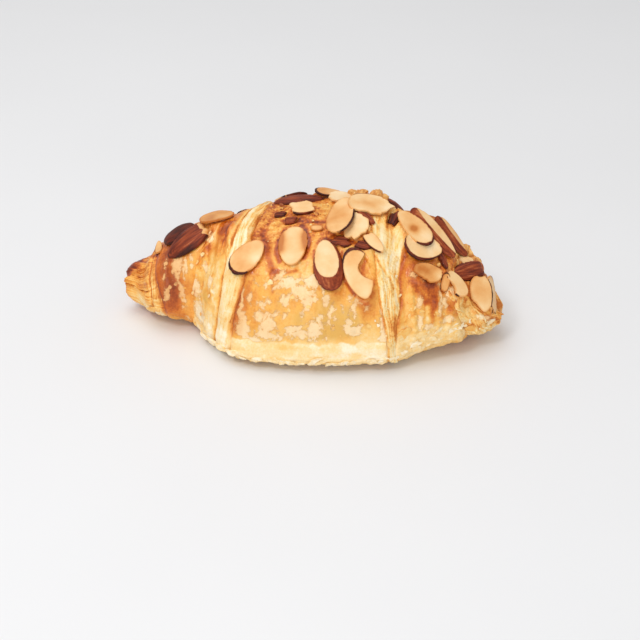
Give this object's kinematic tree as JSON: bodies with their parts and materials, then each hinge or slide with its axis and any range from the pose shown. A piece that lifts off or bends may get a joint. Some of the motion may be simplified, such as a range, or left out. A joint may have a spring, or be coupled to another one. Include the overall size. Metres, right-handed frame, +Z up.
{
  "type": "almond croissant",
  "caption": "Baked almond croissant, a nearly straight roll of layered pastry with glazed wraps and flaked almonds on top.",
  "frame": {"origin": "middle of the flat spot of the underside that the pastry rests on", "axes": "+X along the roll, the front that the picture shows faces -Y, +Z up"},
  "size_m": [0.168, 0.0893, 0.0594],
  "materials": {
    "pastry": "baked golden pastry with sticky glaze, toasted almond flakes on top"
  },
  "bodies": {
    "root": {"croissant": "pastry"}
  },
  "joints": []
}
